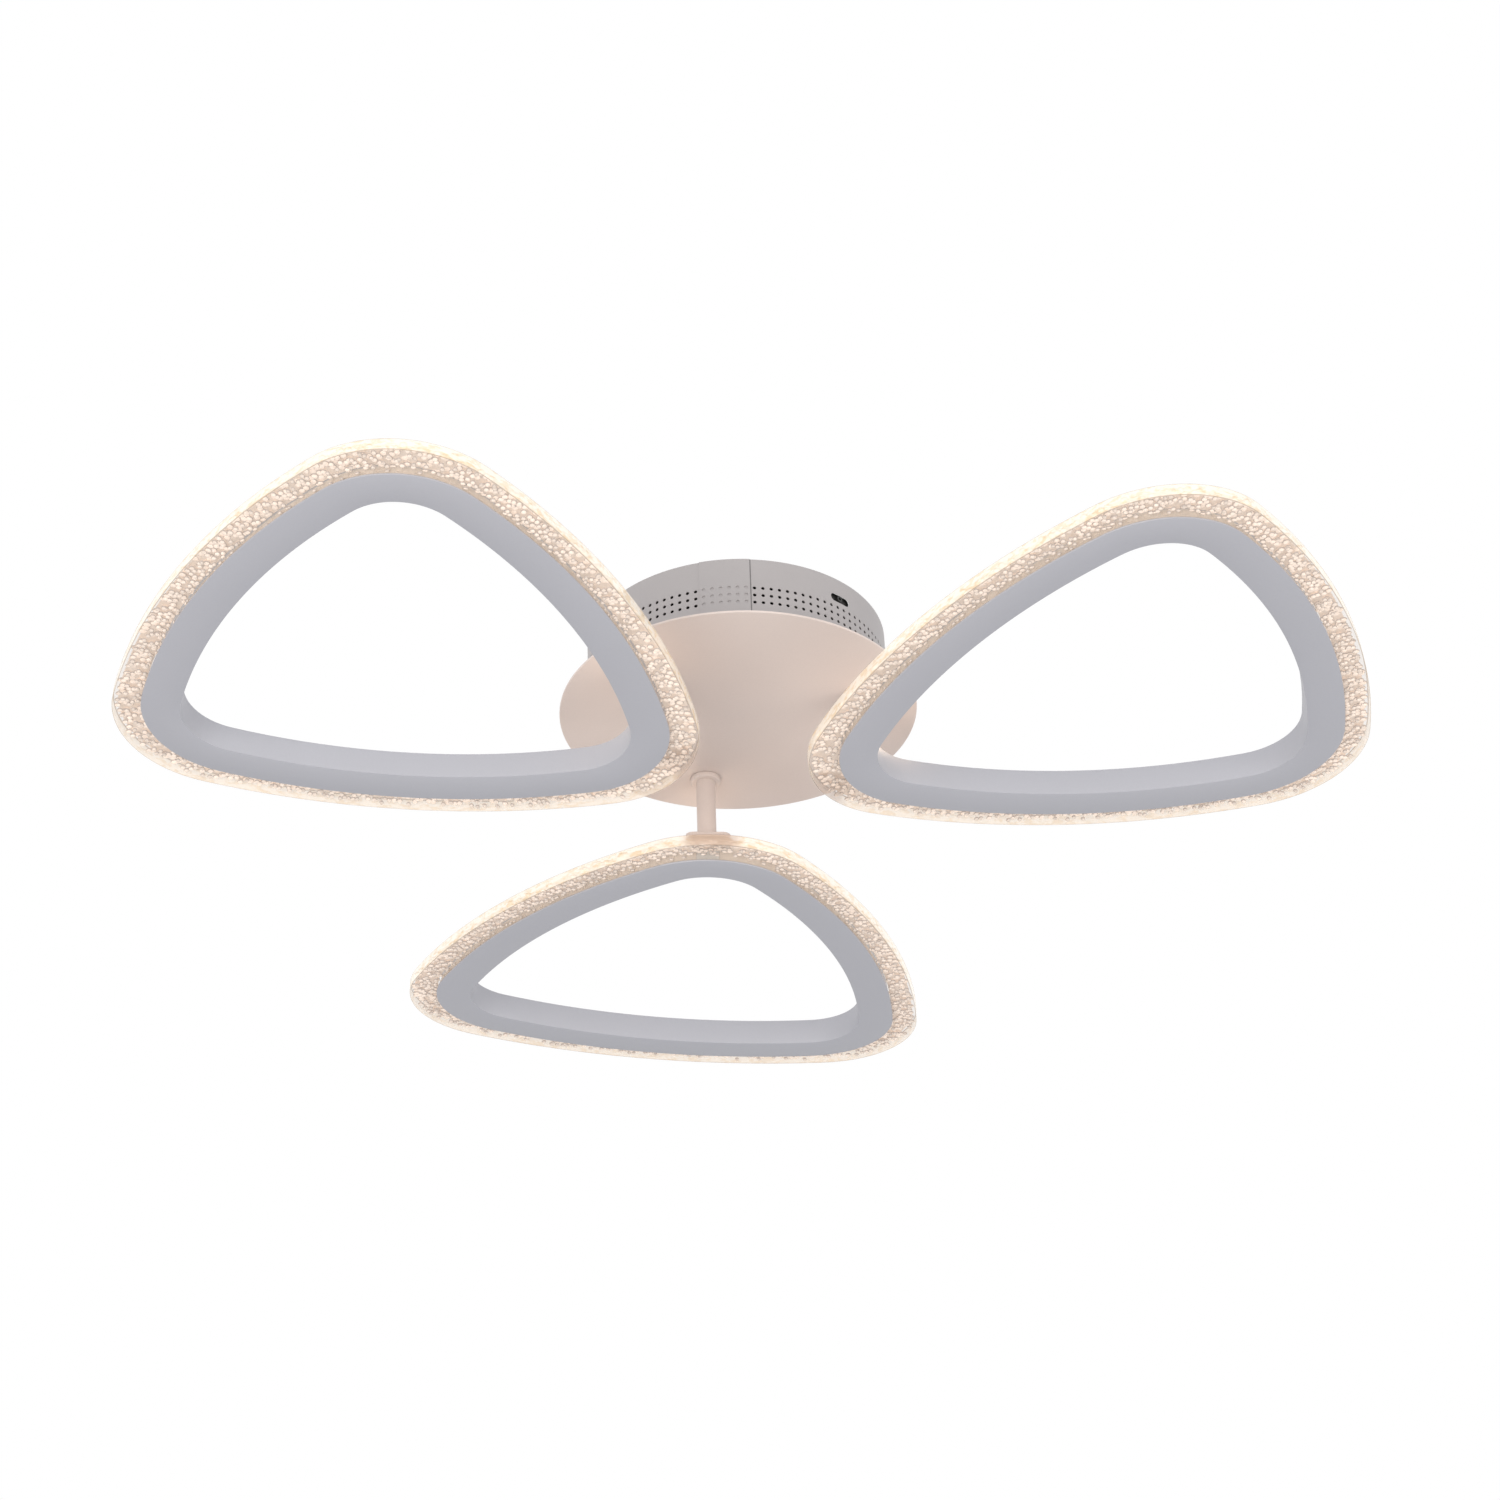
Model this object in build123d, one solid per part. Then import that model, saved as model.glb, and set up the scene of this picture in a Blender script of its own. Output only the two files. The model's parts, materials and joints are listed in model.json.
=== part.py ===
from build123d import *
import math
import os

# Ceiling light with three lit rings. Millimetres, +Z up. The origin is on the ceiling plane, on the
# axis of the round canopy. The lamp hangs below it, and -Y is the side that faces the viewer.

# Canopy: a perforated wall under the ceiling and a wider flat base below it
canopy_depth = 51.0
base_radius = 110.0
base_sheet = 1.2
base_edge_bevel = 0.3
lip_height = 11.0
base_overhang = 17.5
wall_sheet = 1.0
weld_gap = 0.1

# Vents: three rows of round holes, and the lap where the ends of the wall's strip meet
vent_columns = 114
vent_radius = 1.0
vent_top_depth = 20.9
vent_row_pitch = 5.2
vent_rows = 3
lap_columns = 6
seam_azimuth = -84.0

# Side slots of the wall, and the headless screws that stand in them
slot_azimuth = -46.2
slot_length = 15.0
slot_height = 5.5
slot_depth = 14.1
grub_radius = 2.0
grub_length = 8.0
grub_recess = 0.3
grub_socket_radius = 1.0
grub_socket_depth = 1.6
slot_play = 0.05

# Ceiling bracket: a round steel plate that closes the canopy's top, with an ear bent down at each slot
plate_to_wall = 3.5
plate_thickness = 2.0
ear_width = 24.0
ear_drop = 20.0
ear_gap = 0.4
ceiling_slot_spacing = 60.0
ceiling_slot_length = 16.0
ceiling_slot_radius = 2.6
supply_hole_radius = 6.0
earth_offset = 56.0
earth_screw_radius = 2.0

# LED driver, lying on the base inside the canopy
driver_length = 104.0
driver_width = 42.0
driver_height = 24.0
driver_wall = 1.6
driver_top_round = 1.0
driver_wire_hole_radius = 2.5
driver_cover_thickness = 2.0
driver_ear = 12.0
driver_ear_overlap = 1.0
driver_ear_width = 21.0
driver_ear_round = 4.0
driver_to_washer = 4.0
driver_screw_radius = 1.5
board_thickness = 1.6
board_gap = 0.5
board_standoff = 3.5
spacer_width = 3.0
spacer_inset = 4.0
parts_spacing = 6.0
transformer_size = (20.0, 18.0, 13.0)
capacitor_radius = 5.0
capacitor_length = 15.0
capacitor_seat = 0.9

# Terminal block for the house wires, beside the driver
terminal_size = (24.0, 15.0, 13.0)
terminal_distance = 46.0
terminal_ways = 3
terminal_wire_radius = 1.6
terminal_screw_radius = 1.4
terminal_fixing_radius = 1.5
terminal_wire_level = 5.2
terminal_well_floor = 5.85
terminal_well_play = 0.5
terminal_well_offset = 4.0
terminal_clamp_height = 4.5
terminal_recess_level = 8.5
terminal_edge_round = 1.0

# Arms: three tubes that turn in holes of the base
arm_to_wall = 16.5
first_arm_azimuth = 106.9
arm_count = 3
tube_radius = 6.0
tube_bore_radius = 3.2
spigot_radius = 5.0
running_clearance = 0.08
axial_gap = 0.3
collar_radius = 9.5
collar_thickness = 3.0
collar_round = 1.2
washer_radius = 9.0
washer_thickness = 1.0
nut_across_flats = 14.0
nut_thickness = 5.0
spigot_above_nut = 2.0
spigot_bevel = 0.5
slip_clearance = 0.05
lead_radius = 2.1
plug_size = (9.0, 6.0, 14.0)
plug_lift = 4.0
plug_edge_round = 1.0
lead_end_gap = 1.0

# Rings: rounded triangles. A corner points at the canopy, and the arm stands beside that corner's axis
ring_foot_depth = 115.0
arm_inside_edge = 6.704
ring_side_offset = 9.75
ring_rise = 4.6
ring_sideways_fall = 1.24
corner_centre_distance = 109.8
corner_radius = 60.2
side_radius = 390.5
ring_headings = (101.4, -21.5, 214.2)

# Section of a ring: a folded channel with a flat face below, an acrylic band round it and a cover
face_width = 23.0
ring_height = 17.0
ring_sheet = 1.2
cover_sheet = 1.0
face_lip = 3.0
face_round = 0.5

acrylic_corner_distance = 120.0
acrylic_corner_radius = 69.0
acrylic_side_radius = 434.0
acrylic_thickness = 8.0
acrylic_glue = 0.3
acrylic_round = 0.8
acrylic_to_chip = 0.35

# Light strip on the channel's outer wall, with a dark gap where the arm lands
strip_thickness = 0.3
strip_width = 6.0
strip_adhesive = 0.05
chip_pitch = 10.0
chip_length = 3.5
chip_width = 2.8
chip_height = 0.7
chip_solder = 0.1
dark_gap = 28.0
connector_length = 14.0
connector_width = 7.0
connector_height = 7.0
connector_gap = 0.2

# Foot of the arm on the ring, and what clamps it
foot_length = 28.0
foot_width = 21.0
foot_thickness = 3.0
foot_corner = 5.0
foot_boss_radius = 8.0
foot_boss_height = 3.0
foot_inset = 2.6
foot_boss_sink = 1.8
foot_set_back = 1.0
block_length = 28.0
block_width = 10.5
block_gap = 0.4
block_floor = 2.0
foot_screw_spread = 20.0
foot_screw_radius = 2.0
cover_post_radius = 3.5
cover_screw_radius = 1.5
cover_post_floor = 3.0
side_screw_headings = (-30, 90, 210)
corner_screw_headings = (30, 150)

# Screw heads, the clearance round a screw's shank and the room left past its end
screw_end_gap = 1.0
head_ratio = 1.8
head_height_ratio = 1.1
shank_clearance = 0.2
thread_gap = 0.02
head_round_ratio = 0.45
drive_depth_ratio = 0.5
drive_span_ratio = 1.1
drive_width_ratio = 0.32


# Levels and places that follow from the sizes above
wall_radius = base_radius - base_overhang
arm_circle_radius = wall_radius - arm_to_wall
arm_azimuths = [first_arm_azimuth - 360.0 / arm_count * index for index in range(arm_count)]
base_bottom = -canopy_depth
base_top = base_bottom + base_sheet
wall_inner = wall_radius - wall_sheet
vent_pitch = 360.0 / vent_columns
grub_level = -slot_depth + slot_height / 2 - grub_radius - slot_play
plate_radius = wall_inner - plate_to_wall
ear_face = math.sqrt(wall_inner ** 2 - (ear_width / 2) ** 2) - ear_gap
collar_top = base_bottom - axial_gap
collar_bottom = collar_top - collar_thickness
washer_bottom = base_top + axial_gap
nut_bottom = washer_bottom + washer_thickness
nut_top = nut_bottom + nut_thickness
spigot_top = nut_top + spigot_above_nut
led_wall_outer = -face_lip
led_wall_inner = led_wall_outer - ring_sheet
wall_top = ring_height - cover_sheet
acrylic_bottom = ring_sheet + acrylic_glue
chip_face = led_wall_outer + strip_adhesive + strip_thickness + chip_height
acrylic_inner = chip_face + acrylic_to_chip
strip_middle = acrylic_bottom + acrylic_thickness / 2
connector_pocket_level = ring_sheet + connector_height / 2
inner_wall_face = -face_width + ring_sheet
plate_top = ring_height + foot_thickness
boss_top = plate_top - foot_boss_sink + foot_boss_height
arm_to_corner_centre = corner_radius - arm_inside_edge
ring_reach = corner_centre_distance + math.sqrt(arm_to_corner_centre ** 2 - ring_side_offset ** 2)

os.makedirs("parts", exist_ok=True)


def save(shape, node):
    export_step(shape, "parts/" + node + ".step")


def tube(outer, inner, height):
    """A round tube standing on the origin."""
    return upright(outer, height) - Pos(0, 0, -1) * upright(inner, height + 2)


def upright(radius, height):
    """A cylinder standing on the origin."""
    return Cylinder(radius, height, align=(Align.CENTER, Align.CENTER, Align.MIN))


def block(size, low=0.0):
    """A box centred on the Z axis, with its underside at the given level."""
    return Pos(0, 0, low) * Box(*size, align=(Align.CENTER, Align.CENTER, Align.MIN))


def pan_screw(radius, length):
    """A pan-head screw: the head stands on the origin plane and the shank hangs below it."""
    head_radius = radius * head_ratio
    head_height = radius * head_height_ratio
    head = upright(head_radius, head_height)
    head = fillet(head.edges().group_by(Axis.Z)[-1], head_height * head_round_ratio)
    shank = Pos(0, 0, -length) * upright(radius, length)
    screw = head + shank
    cross_depth = head_height * drive_depth_ratio
    for turn in (0, 90):
        arm = Box(head_radius * drive_span_ratio, radius * drive_width_ratio, cross_depth * 2)
        screw -= Pos(0, 0, head_height) * Rot(0, 0, turn) * arm
    return screw


def shank_hole(radius, thickness):
    """What a screw's shank needs in a sheet of the given thickness that stands on the origin plane."""
    return Pos(0, 0, -1) * upright(radius + shank_clearance, thickness + 2)


def polar(radius, azimuth, level=0.0):
    """A location on a circle round the canopy's axis, with its X axis pointing outward."""
    angle = math.radians(azimuth)
    return Pos(radius * math.cos(angle), radius * math.sin(angle), level) * Rot(0, 0, azimuth)


# Canopy wall: one perforated strip, rolled in flat steps one vent column wide, its ends lapped
def wall_column(outer, inner, hole_end):
    """One flat step of the wall, with its vents, centred on the +X axis."""
    half_angle = math.radians(vent_pitch / 2)

    def corner(radius, side, level):
        return Vector(radius * math.cos(half_angle), side * radius * math.sin(half_angle), level)

    corners = {}
    for name, radius in (("out", outer), ("in", inner)):
        for side in (-1, 1):
            for level in (base_top, 0.0):
                corners[name, side, level] = corner(radius, side, level)

    def panel(*keys):
        return Face(Wire.make_polygon([corners[key] for key in keys]))

    low, high = base_top, 0.0
    panels = [
        panel(("out", -1, low), ("out", 1, low), ("out", 1, high), ("out", -1, high)),
        panel(("in", -1, low), ("in", 1, low), ("in", 1, high), ("in", -1, high)),
        panel(("out", -1, low), ("out", 1, low), ("in", 1, low), ("in", -1, low)),
        panel(("out", -1, high), ("out", 1, high), ("in", 1, high), ("in", -1, high)),
        panel(("out", -1, low), ("out", -1, high), ("in", -1, high), ("in", -1, low)),
        panel(("out", 1, low), ("out", 1, high), ("in", 1, high), ("in", 1, low)),
    ]
    column = Solid(Shell(panels))
    drill_length = outer - hole_end + 1
    for row in range(vent_rows):
        level = -vent_top_depth - row * vent_row_pitch
        drill = Rot(0, 90, 0) * Cylinder(vent_radius, drill_length)
        column = column - Pos(hole_end + drill_length / 2, 0, level) * drill
    return column


def faces_between_columns(column):
    """The faces of one step, without the two cut sides that its neighbours cover."""
    kept = []
    for face in column.faces():
        is_side = face.geom_type == GeomType.PLANE and abs(face.normal_at().Y) > 0.9
        if not is_side:
            kept.append(face)
    return kept


def lap_step(azimuth):
    """The end of the strip's outer layer: a narrow upright face at one azimuth."""
    outer = wall_radius + wall_sheet
    rib = [
        Vector(wall_radius, 0, base_top),
        Vector(outer, 0, base_top),
        Vector(outer, 0, 0),
        Vector(wall_radius, 0, 0),
    ]
    return Rot(0, 0, azimuth) * Face(Wire.make_polygon(rib))


def make_canopy_wall():
    plain = faces_between_columns(wall_column(wall_radius, wall_inner, wall_inner - 1))
    lapped = faces_between_columns(wall_column(wall_radius + wall_sheet, wall_inner, wall_radius))
    skin = []
    for index in range(vent_columns):
        azimuth = seam_azimuth - vent_pitch * (index + 0.5)
        pattern = lapped if index < lap_columns else plain
        for face in pattern:
            skin.append(Rot(0, 0, azimuth) * face)
    skin.append(lap_step(seam_azimuth))
    skin.append(lap_step(seam_azimuth - vent_pitch * lap_columns))
    wall = Solid(Shell(skin))
    slot_profile = Rot(0, 90, 0) * Rot(0, 0, 90) * SlotOverall(slot_length, slot_height)
    cutter = extrude(slot_profile, amount=wall_sheet * 5, both=True)
    for azimuth in (slot_azimuth, slot_azimuth + 180):
        wall = wall - polar(wall_radius, azimuth, -slot_depth) * cutter
    return wall


# Canopy base: a flat round sheet with a low welded lip inside the wall and three arm holes
def make_canopy_base():
    base = Pos(0, 0, base_bottom) * upright(base_radius, base_sheet)
    base = chamfer(base.edges().group_by(Axis.Z)[0], base_edge_bevel)
    lip_outer = wall_inner * math.cos(math.radians(vent_pitch / 2)) - weld_gap
    base += Pos(0, 0, base_top) * tube(lip_outer, lip_outer - base_sheet, lip_height)
    for azimuth in arm_azimuths:
        hole = upright(spigot_radius + running_clearance, base_sheet + 2)
        base -= polar(arm_circle_radius, azimuth, base_bottom - 1) * hole
    for place in base_screw_places():
        base -= place * Pos(0, 0, base_bottom - 1) * upright(driver_screw_radius + thread_gap, base_sheet + 2)
    return base


# The driver lies in line with the last arm, with one ear a set distance from that arm's washer
driver_end = arm_circle_radius - washer_radius - driver_to_washer
driver_middle = driver_length / 2 + driver_ear - driver_ear_overlap - driver_end
driver_place = Rot(0, 0, arm_azimuths[-1] + 180) * Pos(driver_middle, 0, 0)
driver_screw_x = (driver_length + driver_ear) / 2
terminal_place = driver_place * Pos(0, terminal_distance, 0)


def base_screw_places():
    places = [driver_place * Pos(side * driver_screw_x, 0, 0) for side in (-1, 1)]
    places.append(terminal_place)
    return places


# Ceiling bracket: a plate with two slots for the ceiling screws along X and a hole for the supply.
# Its two ears stand on a line with the wall's side slots.
def make_bracket():
    plate = Pos(0, 0, -plate_thickness) * block((2 * ear_face, ear_width, plate_thickness))
    for side in (-1, 1):
        ear = block((plate_thickness, ear_width, ear_drop), -ear_drop)
        plate += Pos(side * (ear_face - plate_thickness / 2), 0, 0) * ear
    outer_bends = plate.edges().filter_by(Axis.Y).group_by(Axis.Z)[-1]
    plate = fillet(outer_bends, plate_thickness)
    plate += Pos(0, 0, -plate_thickness) * upright(plate_radius, plate_thickness)
    for side in (-1, 1):
        grub_hole = Rot(0, 90, 0) * Cylinder(grub_radius + thread_gap, plate_thickness * 3)
        plate -= Pos(side * (ear_face - plate_thickness / 2), 0, grub_level) * grub_hole
    plate -= Pos(earth_offset, 0, 0) * Cylinder(earth_screw_radius + thread_gap, plate_thickness * 3)
    bracket = Rot(0, 0, slot_azimuth) * plate
    bracket -= Cylinder(supply_hole_radius, plate_thickness * 3)
    slot = SlotOverall(ceiling_slot_length, ceiling_slot_radius * 2)
    slot_cut = extrude(slot, amount=plate_thickness * 2, both=True)
    for side in (-1, 1):
        bracket -= Pos(side * ceiling_slot_spacing / 2, 0, 0) * slot_cut
    return bracket


def make_grub_screws():
    screws = []
    outer_end = wall_inner - grub_recess + wall_sheet
    for azimuth in (slot_azimuth, slot_azimuth + 180):
        screw = Rot(0, 90, 0) * Pos(0, 0, -grub_length) * upright(grub_radius, grub_length)
        socket = Rot(0, 90, 0) * Cylinder(grub_socket_radius, grub_socket_depth * 2)
        screws.append(polar(outer_end, azimuth, grub_level) * (screw - socket))
    return Compound(children=screws)


def make_earth_screw():
    """The earth screw comes up through the plate's underside, so its head is below."""
    screw = Rot(180, 0, 0) * pan_screw(earth_screw_radius, plate_thickness)
    return Rot(0, 0, slot_azimuth) * Pos(earth_offset, 0, -plate_thickness - weld_gap / 2) * screw


# LED driver: a plastic case open below, a cover that closes it, and the circuit board inside
def make_driver_cover():
    cover = block((driver_length, driver_width, driver_cover_thickness))
    for side in (-1, 1):
        ear = block((driver_ear, driver_ear_width, driver_cover_thickness))
        hole = Cylinder(driver_screw_radius + shank_clearance, driver_cover_thickness * 4)
        ear = fillet(ear.edges().filter_by(Axis.Z), driver_ear_round)
        cover += Pos(side * (driver_screw_x - driver_ear_overlap), 0, 0) * ear
        cover -= Pos(side * driver_screw_x, 0, 0) * hole
    return Pos(0, 0, base_top) * driver_place * cover


def make_driver_case():
    height = driver_height - driver_cover_thickness
    case = block((driver_length, driver_width, height))
    case = fillet(case.edges().filter_by(Axis.Z), driver_wall)
    case = fillet(case.edges().group_by(Axis.Z)[-1], driver_top_round)
    cavity = block((driver_length - 2 * driver_wall, driver_width - 2 * driver_wall, height - driver_wall))
    case -= cavity
    wire_hole = Rot(0, 90, 0) * Cylinder(driver_wire_hole_radius, driver_wall * 4)
    for side in (-1, 1):
        case -= Pos(side * driver_length / 2, 0, height / 2) * wire_hole
    return Pos(0, 0, base_top + driver_cover_thickness) * driver_place * case


def make_driver_board():
    """The circuit board on its spacers, with the transformer and the two large capacitors."""
    inner_length = driver_length - 2 * (driver_wall + board_gap)
    inner_width = driver_width - 2 * (driver_wall + board_gap)
    board = block((inner_length, inner_width, board_thickness), board_standoff)
    for side_x in (-1, 1):
        for side_y in (-1, 1):
            spacer = block((spacer_width, spacer_width, board_standoff))
            spacer_x = side_x * (inner_length / 2 - spacer_inset)
            spacer_y = side_y * (inner_width / 2 - spacer_inset)
            board += Pos(spacer_x, spacer_y, 0) * spacer
    parts_level = board_standoff + board_thickness
    board += block(transformer_size, parts_level)
    for side in (-1, 1):
        capacitor = Rot(0, 90, 0) * Cylinder(capacitor_radius, capacitor_length)
        capacitor_x = side * (transformer_size[0] / 2 + capacitor_length / 2 + parts_spacing)
        board += Pos(capacitor_x, 0, parts_level + capacitor_radius * capacitor_seat) * capacitor
    return Pos(0, 0, base_top + driver_cover_thickness) * driver_place * board


def make_driver_screws():
    screws = []
    for side in (-1, 1):
        screw = pan_screw(driver_screw_radius, driver_cover_thickness + base_sheet)
        level = base_top + driver_cover_thickness
        screws.append(driver_place * Pos(side * driver_screw_x, 0, level) * screw)
    return Compound(children=screws)


# Terminal block: the inlet for the house wires
def make_terminal_block():
    length, width, height = terminal_size
    body = block(terminal_size)
    body = fillet(body.edges().filter_by(Axis.Z), terminal_edge_round)
    way_pitch = length / terminal_ways
    for way in range(terminal_ways):
        x = (way - (terminal_ways - 1) / 2) * way_pitch
        wire_hole = Rot(90, 0, 0) * Cylinder(terminal_wire_radius, width * 2)
        body -= Pos(x, 0, terminal_wire_level) * wire_hole
        for side in (-1, 1):
            well = upright(terminal_screw_radius + terminal_well_play, height)
            body -= Pos(x, side * terminal_well_offset, terminal_well_floor) * well
    body -= Cylinder(terminal_fixing_radius + shank_clearance, height * 4)
    counterbore = upright(terminal_fixing_radius * head_ratio + shank_clearance, height)
    body -= Pos(0, 0, terminal_recess_level) * counterbore
    return Pos(0, 0, base_top) * terminal_place * body


def make_terminal_screws():
    """Six clamping screws standing in their wells, and the fixing screw in the middle."""
    way_pitch = terminal_size[0] / terminal_ways
    screws = []
    for way in range(terminal_ways):
        x = (way - (terminal_ways - 1) / 2) * way_pitch
        for side in (-1, 1):
            clamp = upright(terminal_screw_radius, terminal_clamp_height)
            notch = Box(terminal_screw_radius * 3, terminal_screw_radius * 0.35, terminal_clamp_height * 0.35)
            clamp -= Pos(0, 0, terminal_clamp_height) * notch
            screws.append(Pos(x, side * terminal_well_offset, base_top + terminal_wire_level) * clamp)
    fixing = pan_screw(terminal_fixing_radius, terminal_recess_level + base_sheet)
    screws.append(Pos(0, 0, base_top + terminal_recess_level) * fixing)
    return Compound(children=[terminal_place * screw for screw in screws])


# Arm pieces, upright about the tube's own axis
def make_tube(foot_top):
    """A plain tube with a narrower threaded spigot on top, from the foot's socket to above the nut."""
    tube_bottom = foot_top - foot_inset
    body = Pos(0, 0, tube_bottom) * upright(tube_radius, collar_bottom - tube_bottom)
    body += Pos(0, 0, collar_bottom) * upright(spigot_radius, spigot_top - collar_bottom)
    body = chamfer(body.edges().group_by(Axis.Z)[-1], spigot_bevel)
    return body - Pos(0, 0, tube_bottom - 1) * upright(tube_bore_radius, spigot_top - tube_bottom + 2)


def make_collar():
    collar = Pos(0, 0, collar_bottom) * upright(collar_radius, collar_thickness)
    collar = fillet(collar.edges().group_by(Axis.Z)[0], collar_round)
    bore = upright(spigot_radius + slip_clearance, collar_thickness + 2)
    return collar - Pos(0, 0, collar_bottom - 1) * bore


def make_washer():
    ring = tube(washer_radius, spigot_radius + slip_clearance, washer_thickness)
    return Pos(0, 0, washer_bottom) * ring


def make_nut():
    hexagon = RegularPolygon(nut_across_flats / 2, 6, major_radius=False)
    nut = Pos(0, 0, nut_bottom) * extrude(hexagon, amount=nut_thickness)
    return nut - Pos(0, 0, nut_bottom - 1) * upright(spigot_radius + slip_clearance, nut_thickness + 2)


# Ring outline: three corner arcs joined by three wide side arcs that they touch smoothly
def side_centre_distance(corner_distance, corner_r, side_r):
    """Distance from the centroid to the centre of a side arc that touches two corner arcs."""
    return math.sqrt((side_r - corner_r) ** 2 - 0.75 * corner_distance ** 2) - corner_distance / 2


def rounded_triangle(corner_distance, corner_r, side_r, grow=0.0):
    """A flat face centred on its centroid, with one corner towards -Y, grown evenly outward."""
    side_centre = side_centre_distance(corner_distance, corner_r, side_r)

    def point(distance, angle):
        return Vector(distance * math.cos(math.radians(angle)), distance * math.sin(math.radians(angle)))

    edges = []
    for index in range(3):
        heading = -90 + 120 * index
        centre = point(corner_distance, heading)
        before = point(side_centre, heading + 120)
        after = point(side_centre, heading - 120)
        start = before + (centre - before).normalized() * (side_r + grow)
        end = after + (centre - after).normalized() * (side_r + grow)
        tip = point(corner_distance + corner_r + grow, heading)
        edges.append(Edge.make_three_point_arc(start, tip, end))
        next_centre = point(corner_distance, heading + 120)
        next_start = after + (next_centre - after).normalized() * (side_r + grow)
        middle = after + point(side_r + grow, heading + 60)
        edges.append(Edge.make_three_point_arc(end, middle, next_start))
    return Face(Wire(edges))


def ring_face(grow):
    return rounded_triangle(corner_centre_distance, corner_radius, side_radius, grow)


def ring_band(outer_grow, inner_grow, low, high):
    """A band between two outlines of the ring, from one level to another."""
    band = ring_face(outer_grow) - ring_face(inner_grow)
    return Pos(0, 0, low) * extrude(band, amount=high - low, dir=(0, 0, 1))


# Places in a ring's own frame. Its origin is on the tube's axis in the plane of the lower face,
# +Y runs out along the ring's axis of symmetry and +X runs to the right of it. The ring hangs at a
# slight tilt, and plumb is the upright direction of the tube as the tilted ring sees it.
tilt = Rot(ring_rise, 0, 0) * Rot(0, ring_sideways_fall, 0)
plumb = tilt.inverse()
to_centroid = Pos(ring_side_offset, ring_reach, 0)
corner_centre = Vector(ring_side_offset, ring_reach - corner_centre_distance, 0)
foot_heading = math.degrees(math.atan2(-corner_centre.X, corner_centre.Y))
foot_frame = Rot(0, 0, foot_heading)


def across(distance_from_edge):
    """Distance in the foot's frame, towards the ring, of a line that far inside the outer edge."""
    return distance_from_edge - arm_inside_edge


def screw_places():
    """Middle of the channel at each cover screw: the two far corners and the three sides."""
    middle = (led_wall_inner + inner_wall_face) / 2
    corner_reach = corner_centre_distance + corner_radius
    side_reach = side_radius - side_centre_distance(corner_centre_distance, corner_radius, side_radius)
    reaches = [(heading, corner_reach) for heading in corner_screw_headings]
    reaches += [(heading, side_reach) for heading in side_screw_headings]
    places = []
    for heading, reach in reaches:
        angle = math.radians(heading)
        distance = reach + middle
        places.append(to_centroid * Pos(distance * math.cos(angle), distance * math.sin(angle), 0))
    return places


block_middle = across(-inner_wall_face - block_gap - block_width / 2)


def foot_screw_places():
    return [foot_frame * Pos(side * foot_screw_spread / 2, block_middle, 0) for side in (-1, 1)]


# Ring channel: folded sheet with a wide lower face, an inner wall and a wall that carries the strip
def make_ring_frame():
    face = ring_face(0) - ring_face(-face_width)
    frame = extrude(face, amount=ring_sheet, dir=(0, 0, 1))
    frame = fillet(frame.edges().group_by(Axis.Z)[0], face_round)
    frame += ring_band(-face_width + ring_sheet, -face_width, ring_sheet, wall_top)
    frame += ring_band(led_wall_outer, led_wall_inner, ring_sheet, wall_top)
    frame = to_centroid * frame
    for place in screw_places():
        post = upright(cover_post_radius, wall_top - ring_sheet)
        hole = Pos(0, 0, cover_post_floor) * upright(cover_screw_radius + thread_gap, wall_top)
        frame += place * Pos(0, 0, ring_sheet) * (post - hole)
    window_length = connector_length + 2 * connector_gap
    window = block((window_length, face_lip * 3, connector_height + connector_gap), ring_sheet)
    return frame - foot_frame * Pos(0, across(face_lip), 0) * window


def make_ring_cover():
    cover = to_centroid * ring_band(led_wall_outer, -face_width, wall_top, ring_height)
    for place in screw_places():
        cover -= place * Pos(0, 0, wall_top) * shank_hole(cover_screw_radius, cover_sheet)
    for place in foot_screw_places():
        cover -= place * Pos(0, 0, wall_top) * shank_hole(foot_screw_radius, cover_sheet)
    return cover - plumb * Pos(0, 0, wall_top - 2) * upright(tube_bore_radius, cover_sheet + 4)


def make_cover_screws():
    length = ring_height - ring_sheet - cover_post_floor - screw_end_gap
    screws = []
    for place in screw_places():
        screws.append(place * Pos(0, 0, ring_height) * pan_screw(cover_screw_radius, length))
    return screws


def make_acrylic():
    outer = rounded_triangle(acrylic_corner_distance, acrylic_corner_radius, acrylic_side_radius)
    band = extrude(outer, amount=acrylic_thickness, dir=(0, 0, 1))
    band = fillet(band.edges().group_by(Axis.Z)[-1] + band.edges().group_by(Axis.Z)[0], acrylic_round)
    band -= Pos(0, 0, -1) * extrude(ring_face(acrylic_inner), amount=acrylic_thickness + 2, dir=(0, 0, 1))
    return to_centroid * Pos(0, 0, acrylic_bottom) * band


def strip_outline(stations, offset):
    """The strip's outline at a distance from the channel: one straight length for each light chip."""
    corners = []
    for index, (point, tangent, outward) in enumerate(stations):
        last_point, last_tangent, last_outward = stations[index - 1]
        start = last_point + last_outward * offset
        across_gap = point + outward * offset - start
        turn = last_tangent.X * tangent.Y - last_tangent.Y * tangent.X
        run = (across_gap.X * tangent.Y - across_gap.Y * tangent.X) / turn
        corners.append(start + last_tangent * run)
    return Face(Wire.make_polygon(corners))


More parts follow.
